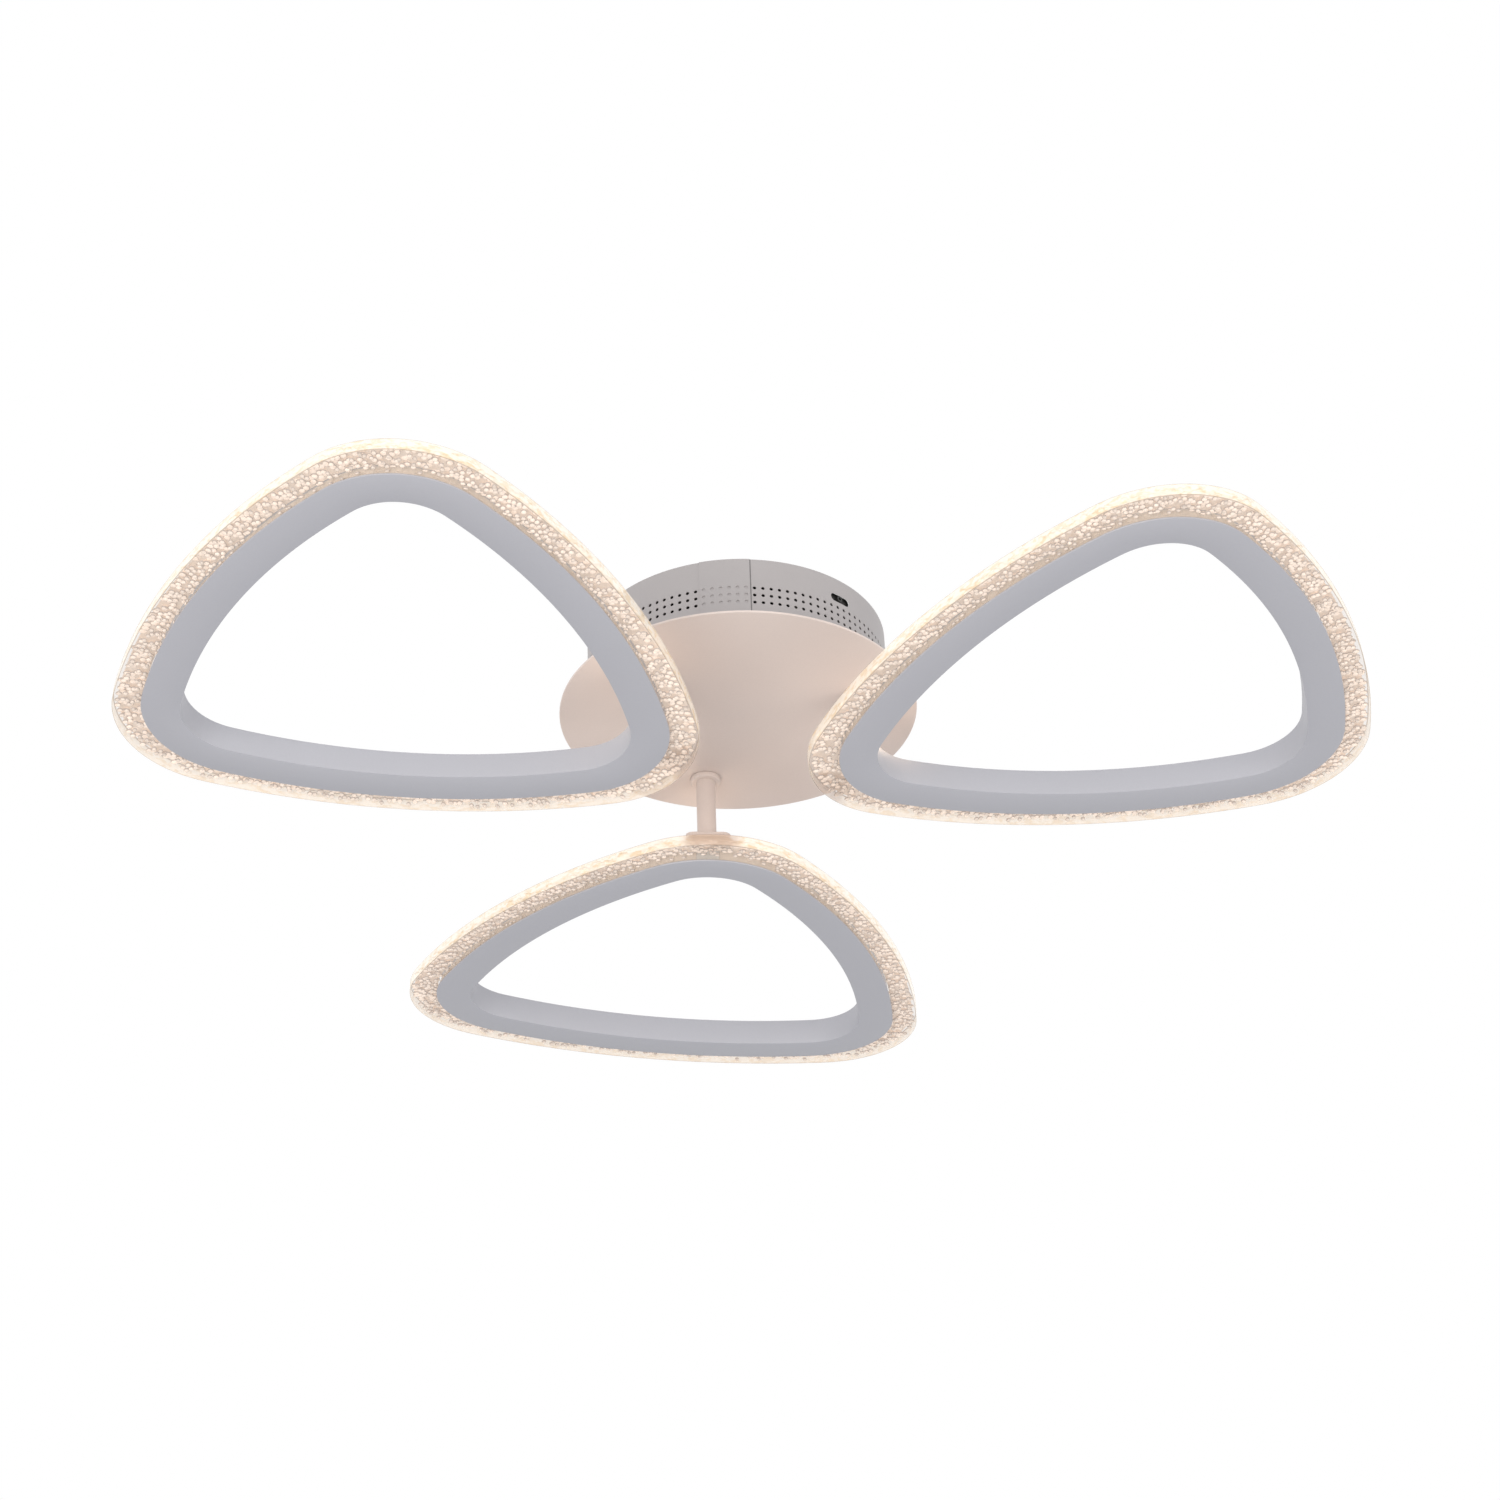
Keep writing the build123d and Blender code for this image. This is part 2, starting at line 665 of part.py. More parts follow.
def make_led_strip():
    """The flexible strip with its light chips, open at the connector and dark beside it."""
    path = (to_centroid * ring_face(led_wall_outer + strip_adhesive)).outer_wire()
    chip_count = round(path.length / chip_pitch)
    stations = []
    for index in range(chip_count):
        distance = path.length * index / chip_count
        point = path.position_at(distance, position_mode=PositionMode.LENGTH)
        tangent = path.tangent_at(distance, position_mode=PositionMode.LENGTH)
        outward = Vector(tangent.Y, -tangent.X)
        if outward.dot(point - to_centroid.position) < 0:
            outward = -outward
        stations.append((point, tangent, outward))
    band = strip_outline(stations, strip_thickness) - strip_outline(stations, 0.0)
    low = strip_middle - strip_width / 2
    strip = Pos(0, 0, low) * extrude(band, amount=strip_width, dir=(0, 0, 1))
    gap = block((connector_length + 2 * connector_gap, face_lip * 3, strip_width * 2))
    strip -= foot_frame * Pos(0, across(face_lip), 0) * gap
    foot_point = (foot_frame * Pos(0, across(face_lip), 0)).position
    chips = []
    for point, tangent, outward in stations:
        if (point - foot_point).length < dark_gap / 2:
            continue
        chip_size = (chip_height + chip_solder, chip_length, chip_width)
        chip = Box(*chip_size, align=(Align.MIN, Align.CENTER, Align.CENTER))
        heading = math.degrees(math.atan2(outward.Y, outward.X))
        root = point + outward * (strip_thickness - chip_solder)
        chips.append(Pos(root.X, root.Y, strip_middle) * Rot(0, 0, heading) * chip)
    return strip + chips


def make_connector():
    """The plastic block in the channel's window, where the lead meets the two ends of the strip."""
    size = (connector_length, connector_width, connector_height)
    middle = across(-chip_face + chip_height + connector_width / 2)
    body = foot_frame * Pos(0, middle, 0) * block(size, ring_sheet)
    pocket = upright(lead_radius + slip_clearance, connector_height)
    return body - plumb * Pos(0, 0, connector_pocket_level) * pocket


# Foot: a flat plate on the ring's cover with an upright socket for the tube
def make_foot():
    plate = extrude(RectangleRounded(foot_length, foot_width, foot_corner), amount=foot_thickness)
    foot = foot_frame * Pos(0, across(foot_width / 2 - foot_set_back), ring_height) * plate
    for place in foot_screw_places():
        foot -= place * Pos(0, 0, ring_height) * shank_hole(foot_screw_radius, foot_thickness)
    foot = tilt * foot
    foot += Pos(0, 0, plate_top - foot_boss_sink) * upright(foot_boss_radius, foot_boss_height)
    foot -= Pos(0, 0, boss_top - foot_inset) * upright(tube_radius + slip_clearance, foot_inset + 1)
    return foot - upright(tube_bore_radius, ring_height * 3)


def make_foot_block():
    bar = block((block_length, block_width, wall_top - ring_sheet), ring_sheet)
    bar = foot_frame * Pos(0, block_middle, 0) * bar
    for place in foot_screw_places():
        bar -= place * Pos(0, 0, ring_sheet + block_floor) * upright(foot_screw_radius + thread_gap, wall_top)
    return bar


def make_foot_screws():
    length = plate_top - ring_sheet - block_floor - screw_end_gap
    screw = Pos(0, 0, plate_top) * pan_screw(foot_screw_radius, length)
    return [place * screw for place in foot_screw_places()]


def make_lead(lead_bottom):
    """The lead stands straight in the tube, from the connector to a small plug above the nut."""
    plug_bottom = spigot_top + plug_lift
    plug_middle = plug_bottom + plug_size[2] / 2
    lead = Pos(0, 0, lead_bottom) * upright(lead_radius, plug_middle - lead_bottom)
    plug = block(plug_size, plug_bottom)
    return lead + fillet(plug.edges().filter_by(Axis.Z), plug_edge_round)


# Canopy pieces
save(make_bracket(), "ceiling_bracket")
save(make_canopy_wall(), "canopy_wall")
save(make_canopy_base(), "canopy_base")
save(make_grub_screws(), "canopy_grub_screws")
save(make_earth_screw(), "earth_screw")
save(make_driver_case(), "driver_case")
save(make_driver_cover(), "driver_cover")
save(make_driver_board(), "driver_board")
save(make_driver_screws(), "driver_screws")
save(make_terminal_block(), "terminal_block")
save(make_terminal_screws(), "terminal_screws")

# Arm and ring pieces, made once and placed three times
upright_pieces = {
    "arm_tube": make_tube(boss_top - ring_foot_depth),
    "arm_collar": make_collar(),
    "arm_washer": make_washer(),
    "arm_lock_nut": make_nut(),
}
ring_pieces = {
    "ring_frame": make_ring_frame(),
    "ring_cover": make_ring_cover(),
    "acrylic_ring": make_acrylic(),
    "led_strip": make_led_strip(),
    "strip_connector": make_connector(),
    "foot_block": make_foot_block(),
}
ring_screws = {"cover_screws": make_cover_screws(), "foot_screws": make_foot_screws()}
foot = make_foot()
lead = make_lead(connector_pocket_level - ring_foot_depth + lead_end_gap)

for index, azimuth in enumerate(arm_azimuths):
    name = ("far", "right", "left")[index]
    angle = math.radians(azimuth)
    at_arm = Pos(arm_circle_radius * math.cos(angle), arm_circle_radius * math.sin(angle), 0)
    turned = at_arm * Rot(0, 0, ring_headings[index] - 90)
    at_foot = turned * Pos(0, 0, -ring_foot_depth)
    in_ring = at_foot * tilt
    for piece, shape in upright_pieces.items():
        save(turned * shape, name + "_" + piece)
    for piece, shape in ring_pieces.items():
        save(in_ring * shape, name + "_" + piece)
    for piece, shapes in ring_screws.items():
        save(Compound(children=[in_ring * shape for shape in shapes]), name + "_" + piece)
    save(at_foot * foot, name + "_arm_foot")
    save(turned * lead, name + "_arm_lead")
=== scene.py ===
import json
import math

import bmesh
import bpy
from mathutils import Matrix, Vector

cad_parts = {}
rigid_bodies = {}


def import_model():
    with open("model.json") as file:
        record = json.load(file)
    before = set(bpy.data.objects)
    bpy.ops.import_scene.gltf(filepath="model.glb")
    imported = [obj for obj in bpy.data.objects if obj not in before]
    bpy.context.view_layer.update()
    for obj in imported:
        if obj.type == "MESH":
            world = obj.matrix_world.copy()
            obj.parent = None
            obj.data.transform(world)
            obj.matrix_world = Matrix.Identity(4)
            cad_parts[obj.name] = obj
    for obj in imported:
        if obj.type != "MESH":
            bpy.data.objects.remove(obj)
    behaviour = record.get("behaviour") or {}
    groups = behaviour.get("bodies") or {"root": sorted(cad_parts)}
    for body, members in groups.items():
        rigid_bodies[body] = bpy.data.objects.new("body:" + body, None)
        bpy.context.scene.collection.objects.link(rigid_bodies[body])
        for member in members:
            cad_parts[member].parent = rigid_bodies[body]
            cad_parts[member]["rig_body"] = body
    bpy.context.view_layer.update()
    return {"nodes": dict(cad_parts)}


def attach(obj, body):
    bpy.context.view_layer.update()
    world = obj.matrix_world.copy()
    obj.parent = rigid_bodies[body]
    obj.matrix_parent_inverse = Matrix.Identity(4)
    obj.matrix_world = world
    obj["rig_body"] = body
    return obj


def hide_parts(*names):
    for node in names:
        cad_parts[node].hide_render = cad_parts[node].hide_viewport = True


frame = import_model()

# Camera: below the lamp and in front of it, looking up at a third of a right angle, with the
# slight roll that a hand-held view has.
view_place = (0.0, -1.8477, -1.2694)
view_yaw = math.radians(0.1995)
view_pitch = math.radians(32.833)
view_roll = math.radians(-2.001)


def put(name, data):
    """A new object in the scene."""
    piece = bpy.data.objects.new(name, data)
    bpy.context.collection.objects.link(piece)
    return piece


ahead = Vector((
    math.sin(view_yaw) * math.cos(view_pitch),
    math.cos(view_yaw) * math.cos(view_pitch),
    math.sin(view_pitch)))
level = Vector((math.cos(view_yaw), -math.sin(view_yaw), 0.0))
upward = level.cross(ahead)
rolled_right = level * math.cos(view_roll) + upward * math.sin(view_roll)
rolled_up = upward * math.cos(view_roll) - level * math.sin(view_roll)
camera = put("camera", bpy.data.cameras.new("camera"))
camera_turn = Matrix((rolled_right, rolled_up, -ahead)).transposed().to_4x4()
camera.matrix_world = Matrix.Translation(view_place) @ camera_turn
camera.data.sensor_width = 36.0
camera.data.lens = 86.27
camera.data.clip_end = 50.0
bpy.context.scene.camera = camera


# Floor and light: a pale room. The world is white to the eye and a softer white as a light, and two
# large lamps, low in front and at the right, light the pieces from the viewer's side.
white = (1.0, 1.0, 1.0)
world_light = (0.70, 0.71, 0.74)
floor_half = 9.0
floor_level = -3.0
floor_glow_seen = 0.45
lamp_colour = (1.0, 0.985, 0.965)
lamp_aim = Vector((0.0, 0.0, -0.06))
studio_lamps = (
    ("lamp_front", (-1.4, -3.2, -1.3), 2.4, 84.0),
    ("lamp_right", (2.6, -1.4, -1.2), 2.0, 32.0))


def fill(node, sockets):
    """Each socket takes another node's output, or a value of its own."""
    for socket, source in sockets.items():
        if isinstance(source, bpy.types.NodeSocket):
            node.id_data.links.new(source, node.inputs[socket])
        else:
            node.inputs[socket].default_value = source


def adder(tree):
    """A function that adds a node to the tree, with its settings and what its sockets take."""
    def add(kind, sockets=None, **settings):
        node = tree.nodes.new(kind)
        for setting, value in settings.items():
            setattr(node, setting, value)
        fill(node, sockets or {})
        return node

    return add


def arithmetic(add, operation, *values):
    """The result of one operation on sockets and numbers."""
    return add("ShaderNodeMath", dict(enumerate(values)), operation=operation).outputs[0]


def blend(add, share, first, second):
    """A colour between a first and a second, each of them a colour or a socket."""
    ends = [end if isinstance(end, bpy.types.NodeSocket) else (*end, 1.0) for end in (first, second)]
    return add("ShaderNodeMix", {0: share, 6: ends[0], 7: ends[1]}, data_type="RGBA").outputs[2]


def new_material(name):
    """A material with one shader, the shader itself, and a function that adds a node to it."""
    material = bpy.data.materials.new(name)
    material.use_nodes = True
    material.node_tree.nodes.clear()
    add = adder(material.node_tree)
    shader = add("ShaderNodeBsdfPrincipled")
    add("ShaderNodeOutputMaterial", {0: shader.outputs[0]})
    return material, shader, add


world = bpy.data.worlds.new("room")
bpy.context.scene.world = world
world.use_nodes = True
world.node_tree.nodes.clear()
add = adder(world.node_tree)
seen = add("ShaderNodeLightPath").outputs
plain_eye = arithmetic(add, "MAXIMUM", seen["Is Camera Ray"], seen["Is Glossy Ray"])
clear_eye = arithmetic(add, "MAXIMUM", plain_eye, seen["Is Transmission Ray"])
sky = add("ShaderNodeBackground", {0: blend(add, clear_eye, world_light, white)})
add("ShaderNodeOutputWorld", {0: sky.outputs[0]})

floor_mesh = bpy.data.meshes.new("floor")
floor_mesh.from_pydata([
    (-floor_half, -floor_half, floor_level), (floor_half, -floor_half, floor_level),
    (floor_half, floor_half, floor_level), (-floor_half, floor_half, floor_level)], [], [(0, 1, 2, 3)])
floor = put("floor", floor_mesh)
floor_finish, shader, add = new_material("pale_floor")
floor_seen = add("ShaderNodeLightPath").outputs["Is Camera Ray"]
fill(shader, {
    "Base Color": (0.86, 0.86, 0.86, 1.0), "Roughness": 0.9, "Emission Color": (*white, 1.0),
    "Emission Strength": arithmetic(add, "MULTIPLY", floor_seen, floor_glow_seen)})
floor_mesh.materials.append(floor_finish)

for lamp_name, lamp_place, size, power in studio_lamps:
    lamp = put(lamp_name, bpy.data.lights.new(lamp_name, "AREA"))
    lamp.data.size = size
    lamp.data.energy = power
    lamp.data.color = lamp_colour
    lamp.location = lamp_place
    lamp.rotation_euler = (lamp_aim - Vector(lamp_place)).to_track_quat("-Z", "Y").to_euler()


# The glow of the three rings on the canopy: a small warm lamp over the corner that points at it,
# beside each arm. The lamp itself is not seen.
arm_azimuths = (106.9, -13.1, -133.1)
glow_radius = 0.100
glow_level = -0.084
glow_power = 0.012
for azimuth in arm_azimuths:
    glow_angle = math.radians(azimuth)
    glow = put("ring_glow", bpy.data.lights.new("ring_glow", "POINT"))
    glow.data.shadow_soft_size = 0.008
    glow.data.energy = glow_power
    glow.data.color = (1.0, 0.74, 0.50)
    glow.location = (glow_radius * math.cos(glow_angle), glow_radius * math.sin(glow_angle), glow_level)
    glow.visible_camera = False


# Ceiling bracket: a pressed steel plate with bent ears. The two headless screws that hold the canopy
# on it stand in the canopy's side slots. Both are drawn near black, painted shade, so that the slots
# look as dark as the shade inside the canopy.
# The painted shadow line beside the canopy wall's lap seam: its offset from the seam, its half width and how
# dark it is.
shadow_line_offset = 0.0003
shadow_line_half = 0.0004
shadow_line_shade = 0.50


def ranged(add, source, before=(0.0, 1.0), after=(0.0, 1.0)):
    """A socket's value carried from one range to another and held within it."""
    return add("ShaderNodeMapRange", {
        "Value": source, "From Min": before[0], "From Max": before[1],
        "To Min": after[0], "To Max": after[1]}).outputs[0]


def coated(name, colour, roughness=0.5, grain=0.0009, depth=0.04, cloud=0.03, metallic=0.0, shadow_line_at=None):
    """A coat with fine orange peel and slow, faint clouds, and at one azimuth, if given, a painted shadow
    line: a thin dark line beside the lap seam, for the shade of the lapped edge.
    """
    material, shader, add = new_material(name)
    place = add("ShaderNodeTexCoord").outputs["Object"]
    peel = add("ShaderNodeTexNoise", {"Vector": place, "Scale": 1.0 / grain, "Detail": 2.0}).outputs["Fac"]
    slow = add("ShaderNodeTexNoise", {"Vector": place, "Scale": 22.0, "Detail": 3.0}).outputs["Fac"]
    tone = ranged(add, slow, (0.3, 0.7), (1.0 - cloud, 1.0 + cloud))
    speck = ranged(add, peel, (0.3, 0.7), (0.985, 1.015))
    both = arithmetic(add, "MULTIPLY", tone, speck)
    # painted shade: a thin dark line beside the lap seam, standing in for the shadow of the lapped edge
    if shadow_line_at is not None:
        outward, sideways = (math.cos(shadow_line_at), math.sin(shadow_line_at), 0.0), (-math.sin(shadow_line_at), math.cos(shadow_line_at), 0.0)
        across = add("ShaderNodeVectorMath", {0: place, 1: sideways}, operation="DOT_PRODUCT")
        along = add("ShaderNodeVectorMath", {0: place, 1: outward}, operation="DOT_PRODUCT")
        near = arithmetic(add, "COMPARE", across.outputs["Value"], shadow_line_offset, shadow_line_half)
        outside = arithmetic(add, "GREATER_THAN", along.outputs["Value"], 0.0)
        line = arithmetic(add, "MULTIPLY", near, outside)
        both = arithmetic(add, "MULTIPLY", both, ranged(add, line, after=(1.0, shadow_line_shade)))
    fill(shader, {
        "Base Color": add("ShaderNodeVectorMath", {0: colour, "Scale": both}, operation="SCALE").outputs[0],
        "Roughness": ranged(add, slow, after=(roughness - 0.06, roughness + 0.06)),
        "Normal": add("ShaderNodeBump", {"Height": peel, "Strength": depth, "Distance": 0.0002}).outputs[0],
        "Metallic": metallic})
    return material


def dress(node, material):
    """A CAD node keeps its mesh and takes a finish."""
    piece = frame["nodes"][node]
    piece.data.materials.clear()
    piece.data.materials.append(material)


def smooth(mesh, angle=28.0):
    """Soft shading on the curved faces and crisp edges where the sheet is folded or cut."""
    mesh.polygons.foreach_set("use_smooth", [True] * len(mesh.polygons))
    mesh.set_sharp_from_angle(angle=math.radians(angle))


def polished(node, material):
    """A merged, softly shaded copy that stands for a CAD node of the same shape."""
    source = frame["nodes"][node]
    mesh = source.data.copy()
    if "custom_normal" in mesh.attributes:
        mesh.attributes.remove(mesh.attributes["custom_normal"])
    work = bmesh.new()
    work.from_mesh(mesh)
    bmesh.ops.remove_doubles(work, verts=work.verts, dist=2e-6)
    work.to_mesh(mesh)
    work.free()
    smooth(mesh)
    mesh.materials.clear()
    mesh.materials.append(material)
    piece = put(node + "_finished", mesh)
    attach(piece, source["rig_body"])
    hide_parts(node)
    return piece


# painted shade: the bracket and the screws are near black, so that the side slots read as shadow
slot_shade_black = coated("slot_shade_black", (0.018, 0.017, 0.016), roughness=0.45, cloud=0.1)
dress("ceiling_bracket", slot_shade_black)
dress("canopy_grub_screws", slot_shade_black)
screw_brass = coated("screw_brass", (0.62, 0.44, 0.18), roughness=0.32, metallic=1.0)
dress("earth_screw", screw_brass)


# Canopy wall: a strip of steel with three rows of punched vents, rolled round and lapped where its
# ends meet, then powder coated. One vent column is made and repeated round the canopy. The sheet is
# drawn at half its thickness, so that the vents look dark through.
wall_radius = 0.0925
wall_sheet = 0.0005
wall_rows_below = (-0.0498, -0.044, -0.038)
wall_rows_above = (-0.0120, -0.0060, 0.0)
vent_columns = 114
vent_radius = 0.0011
vent_levels = (-0.0209, -0.0261, -0.0313)
vent_pitch_high = 0.0052
seam_azimuth = math.radians(-84.0)
lap_columns = 6
lap_gap = 0.00003
slot_azimuths = (-46.2, 133.8)
slot_level = -0.0141
slot_straight_half = 0.00475
slot_end_radius = 0.00275
slot_cutter_reach = 0.006
# painted shade: the canopy's white coat is drawn grey on the wall, darker than its copy on the base, with the
# painted shadow line beside the lap seam
shaded_wall_coat = coated("shaded_wall_coat", (0.410, 0.382, 0.374), roughness=0.45, cloud=0.015, shadow_line_at=seam_azimuth)


def new_mesh(work, name):
    """A mesh of the faces drawn so far."""
    mesh = bpy.data.meshes.new(name)
    work.to_mesh(mesh)
    work.free()
    return mesh


def vent_column():
    """One flat column of the strip, unrolled: x runs round the wall, z up. Faces ring each vent."""
    work = bmesh.new()
    steps = 4
    column_width = 2 * math.pi * wall_radius / vent_columns
    half = column_width / 2

    def row(z):
        return [work.verts.new((-half + column_width * k / steps, 0.0, z)) for k in range(steps + 1)]

    def plain(lower, upper):
        for k in range(steps):
            work.faces.new((lower[k], lower[k + 1], upper[k + 1], upper[k]))

    rows = [row(z) for z in (*wall_rows_below, vent_levels[-1] - vent_pitch_high / 2)]
    for lower, upper in zip(rows, rows[1:]):
        plain(lower, upper)
    lower = rows[-1]
    for z in reversed(vent_levels):
        upper = row(z + vent_pitch_high / 2)
        low_z, high_z = z - vent_pitch_high / 2, z + vent_pitch_high / 2
        side_levels = [low_z + (high_z - low_z) * k / steps for k in range(1, steps)]
        left = [work.verts.new((-half, 0.0, side_z)) for side_z in side_levels]
        right = [work.verts.new((half, 0.0, side_z)) for side_z in side_levels]
        border = lower + right + upper[::-1] + left[::-1]
        centre = Vector((0.0, 0.0, z))
        hole = [work.verts.new(centre + (vert.co - centre).normalized() * vent_radius) for vert in border]
        for k in range(len(border)):
            following = (k + 1) % len(border)
            work.faces.new((border[k], border[following], hole[following], hole[k]))
        lower = upper
    top = [lower] + [row(z) for z in wall_rows_above]
    for low_row, high_row in zip(top, top[1:]):
        plain(low_row, high_row)
    return put("vent_column", new_mesh(work, "vent_column"))


def new_tree(name, inputs):
    """A geometry tree with named inputs: the tree, what it is given, its end, and a node adder."""
    tree = bpy.data.node_groups.new(name, "GeometryNodeTree")
    tree.interface.new_socket("Geometry", in_out="INPUT", socket_type="NodeSocketGeometry")
    for label, kind, value in inputs:
        socket = tree.interface.new_socket(label, in_out="INPUT", socket_type=kind)
        if value is not None:
            socket.default_value = value
    tree.interface.new_socket("Geometry", in_out="OUTPUT", socket_type="NodeSocketGeometry")
    given = tree.nodes.new("NodeGroupInput").outputs
    result = tree.nodes.new("NodeGroupOutput")
    return tree, given, result, adder(tree)


def plain_mesh(piece):
    """The mesh that a piece's modifiers give."""
    bpy.context.view_layer.update()
    return bpy.data.meshes.new_from_object(piece.evaluated_get(bpy.context.evaluated_depsgraph_get()))


def grown(source, tree, values, name):
    """The tree's result on a source object as a plain mesh piece. The source is then removed."""
    modifier = source.modifiers.new("made", "NODES")
    modifier.node_group = tree
    for item in tree.interface.items_tree:
        if item.item_type == "SOCKET" and item.in_out == "INPUT" and item.name in values:
            modifier[item.identifier] = values[item.name]
    piece = put(name, plain_mesh(source))
    bpy.data.objects.remove(source)
    return piece


wall_tree, given, result, add = new_tree("rolled_wall", [
    ("Columns", "NodeSocketInt", vent_columns), ("Radius", "NodeSocketFloat", wall_radius),
    ("Seam", "NodeSocketFloat", seam_azimuth), ("Lap", "NodeSocketInt", lap_columns),
    ("Sheet", "NodeSocketFloat", wall_sheet), ("Coat", "NodeSocketMaterial", None)])
columns = add("GeometryNodeMeshLine", {"Count": given["Columns"]})
number = add("GeometryNodeInputIndex").outputs[0]
column_turn = arithmetic(add, "DIVIDE", -2 * math.pi, given["Columns"])
column_middle = arithmetic(add, "ADD", number, 0.5)
column_azimuth = arithmetic(add, "MULTIPLY_ADD", column_middle, column_turn, given["Seam"])
in_lap = arithmetic(add, "LESS_THAN", number, given["Lap"])
reach = arithmetic(add, "MULTIPLY_ADD", in_lap, given["Sheet"], given["Radius"])
east = arithmetic(add, "MULTIPLY", arithmetic(add, "COSINE", column_azimuth), reach)
north = arithmetic(add, "MULTIPLY", arithmetic(add, "SINE", column_azimuth), reach)
spot = add("ShaderNodeCombineXYZ", {"X": east, "Y": north})
placed = add("GeometryNodeSetPosition", {"Geometry": columns.outputs[0], "Position": spot.outputs[0]})
facing = add("ShaderNodeCombineXYZ", {"Z": arithmetic(add, "ADD", column_azimuth, math.pi / 2)})
copies = add("GeometryNodeInstanceOnPoints", {
    "Points": placed.outputs[0], "Instance": given["Geometry"], "Rotation": facing.outputs[0]})
real = add("GeometryNodeRealizeInstances", {"Geometry": copies.outputs[0]})
joined = add("GeometryNodeMergeByDistance", {"Geometry": real.outputs[0], "Distance": 0.00012})
coat = add("GeometryNodeSetMaterial", {"Geometry": joined.outputs[0], "Material": given["Coat"]})
fill(result, {0: coat.outputs[0]})
canopy_wall = grown(vent_column(), wall_tree, {"Coat": shaded_wall_coat}, "canopy_wall_finished")

# Each column is bent from its flat chord onto the round. The strip's other end is laid behind the
# lap, and the sheet then gets its thickness inward.
for vertex in canopy_wall.data.vertices:
    flat = Vector((vertex.co.x, vertex.co.y))
    lapped = flat.length > wall_radius + wall_sheet / 2
    flat = flat.normalized() * (wall_radius + (wall_sheet if lapped else 0.0))
    vertex.co.x, vertex.co.y = flat.x, flat.y
work = bmesh.new()
work.from_mesh(canopy_wall.data)
coat_index = max(face.material_index for face in work.faces)
under_lap = []
for k in range(lap_columns * 2 + 1):
    turned = seam_azimuth - math.pi / vent_columns * k
    behind = (math.cos(turned) * (wall_radius - lap_gap), math.sin(turned) * (wall_radius - lap_gap))
    under_lap.append([work.verts.new((*behind, z)) for z in (wall_rows_below[0], wall_rows_above[-1])])
for here, there in zip(under_lap, under_lap[1:]):
    work.faces.new((here[0], here[1], there[1], there[0])).material_index = coat_index
work.to_mesh(canopy_wall.data)
work.free()
thick = canopy_wall.modifiers.new("sheet", "SOLIDIFY")
thick.thickness = wall_sheet
thick.offset = -1.0

# The two side slots are cut through the finished sheet.
slot_outline = []
for side in (1, -1):
    for k in range(9):
        angle = math.radians(22.5 * k - 90 * side)
        slot_outline.append((
            side * slot_straight_half + slot_end_radius * math.cos(angle), slot_end_radius * math.sin(angle)))
work = bmesh.new()
for azimuth in slot_azimuths:
    turned = (Matrix.Rotation(math.radians(azimuth), 4, "Z")
              @ Matrix.Translation((wall_radius, 0.0, slot_level)))
    near_ring = [work.verts.new(turned @ Vector((-slot_cutter_reach, x, z))) for x, z in slot_outline]
    far_ring = [work.verts.new(turned @ Vector((slot_cutter_reach, x, z))) for x, z in slot_outline]
    work.faces.new(near_ring)
    work.faces.new(far_ring[::-1])
    for k in range(len(near_ring)):
        following = (k + 1) % len(near_ring)
        work.faces.new((near_ring[k], far_ring[k], far_ring[following], near_ring[following]))
bmesh.ops.recalc_face_normals(work, faces=work.faces)
slot_cutter = put("slot_cutter", new_mesh(work, "slot_cutter"))
cut = canopy_wall.modifiers.new("slots", "BOOLEAN")
cut.object = slot_cutter
cut.solver = "EXACT"
cut_mesh = plain_mesh(canopy_wall)
canopy_wall.modifiers.clear()
canopy_wall.data = cut_mesh
bpy.data.objects.remove(slot_cutter)
smooth(cut_mesh)
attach(canopy_wall, "canopy")
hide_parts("canopy_wall")


# Canopy base: a flat round sheet, powder coated warm white, welded to the wall by a low lip. It
# catches the warm light of the rings from the glow lamps, and more of that light is painted into the
# coat, which is drawn brighter and warmer than the same white on the wall: painted light.
# painted light: the white coat is drawn brighter and warmer than on the wall, for the rings' warm light on
# the base
ring_lit_canopy_coat = coated("ring_lit_canopy_coat", (0.735, 0.630, 0.570), roughness=0.48, cloud=0.012)
polished("canopy_base", ring_lit_canopy_coat)


# Driver and terminal block: moulded white plastic, a green circuit board, zinc-plated and brass
# screws. The screws stand in threads of the base, and the base's coat runs over their ends.
screw_end_level = -0.0509


def coat_over_ends(node, material):
    """A finished copy of the screws whose lowest faces, flush with the base, carry its coat."""
    screws = polished(node, material)
    screws.data.materials.append(ring_lit_canopy_coat)
    for face in screws.data.polygons:
        if face.center.z < screw_end_level:
            face.material_index = 1


def ramp(add, factor, low, high, low_at=0.0, high_at=1.0):
    """A colour that a factor carries from a low one to a high one."""
    node = add("ShaderNodeValToRGB", {"Fac": factor})
    for element, colour, position in zip(node.color_ramp.elements, (low, high), (low_at, high_at)):
        element.color = (*colour, 1.0)
        element.position = position
    return node.outputs[0]


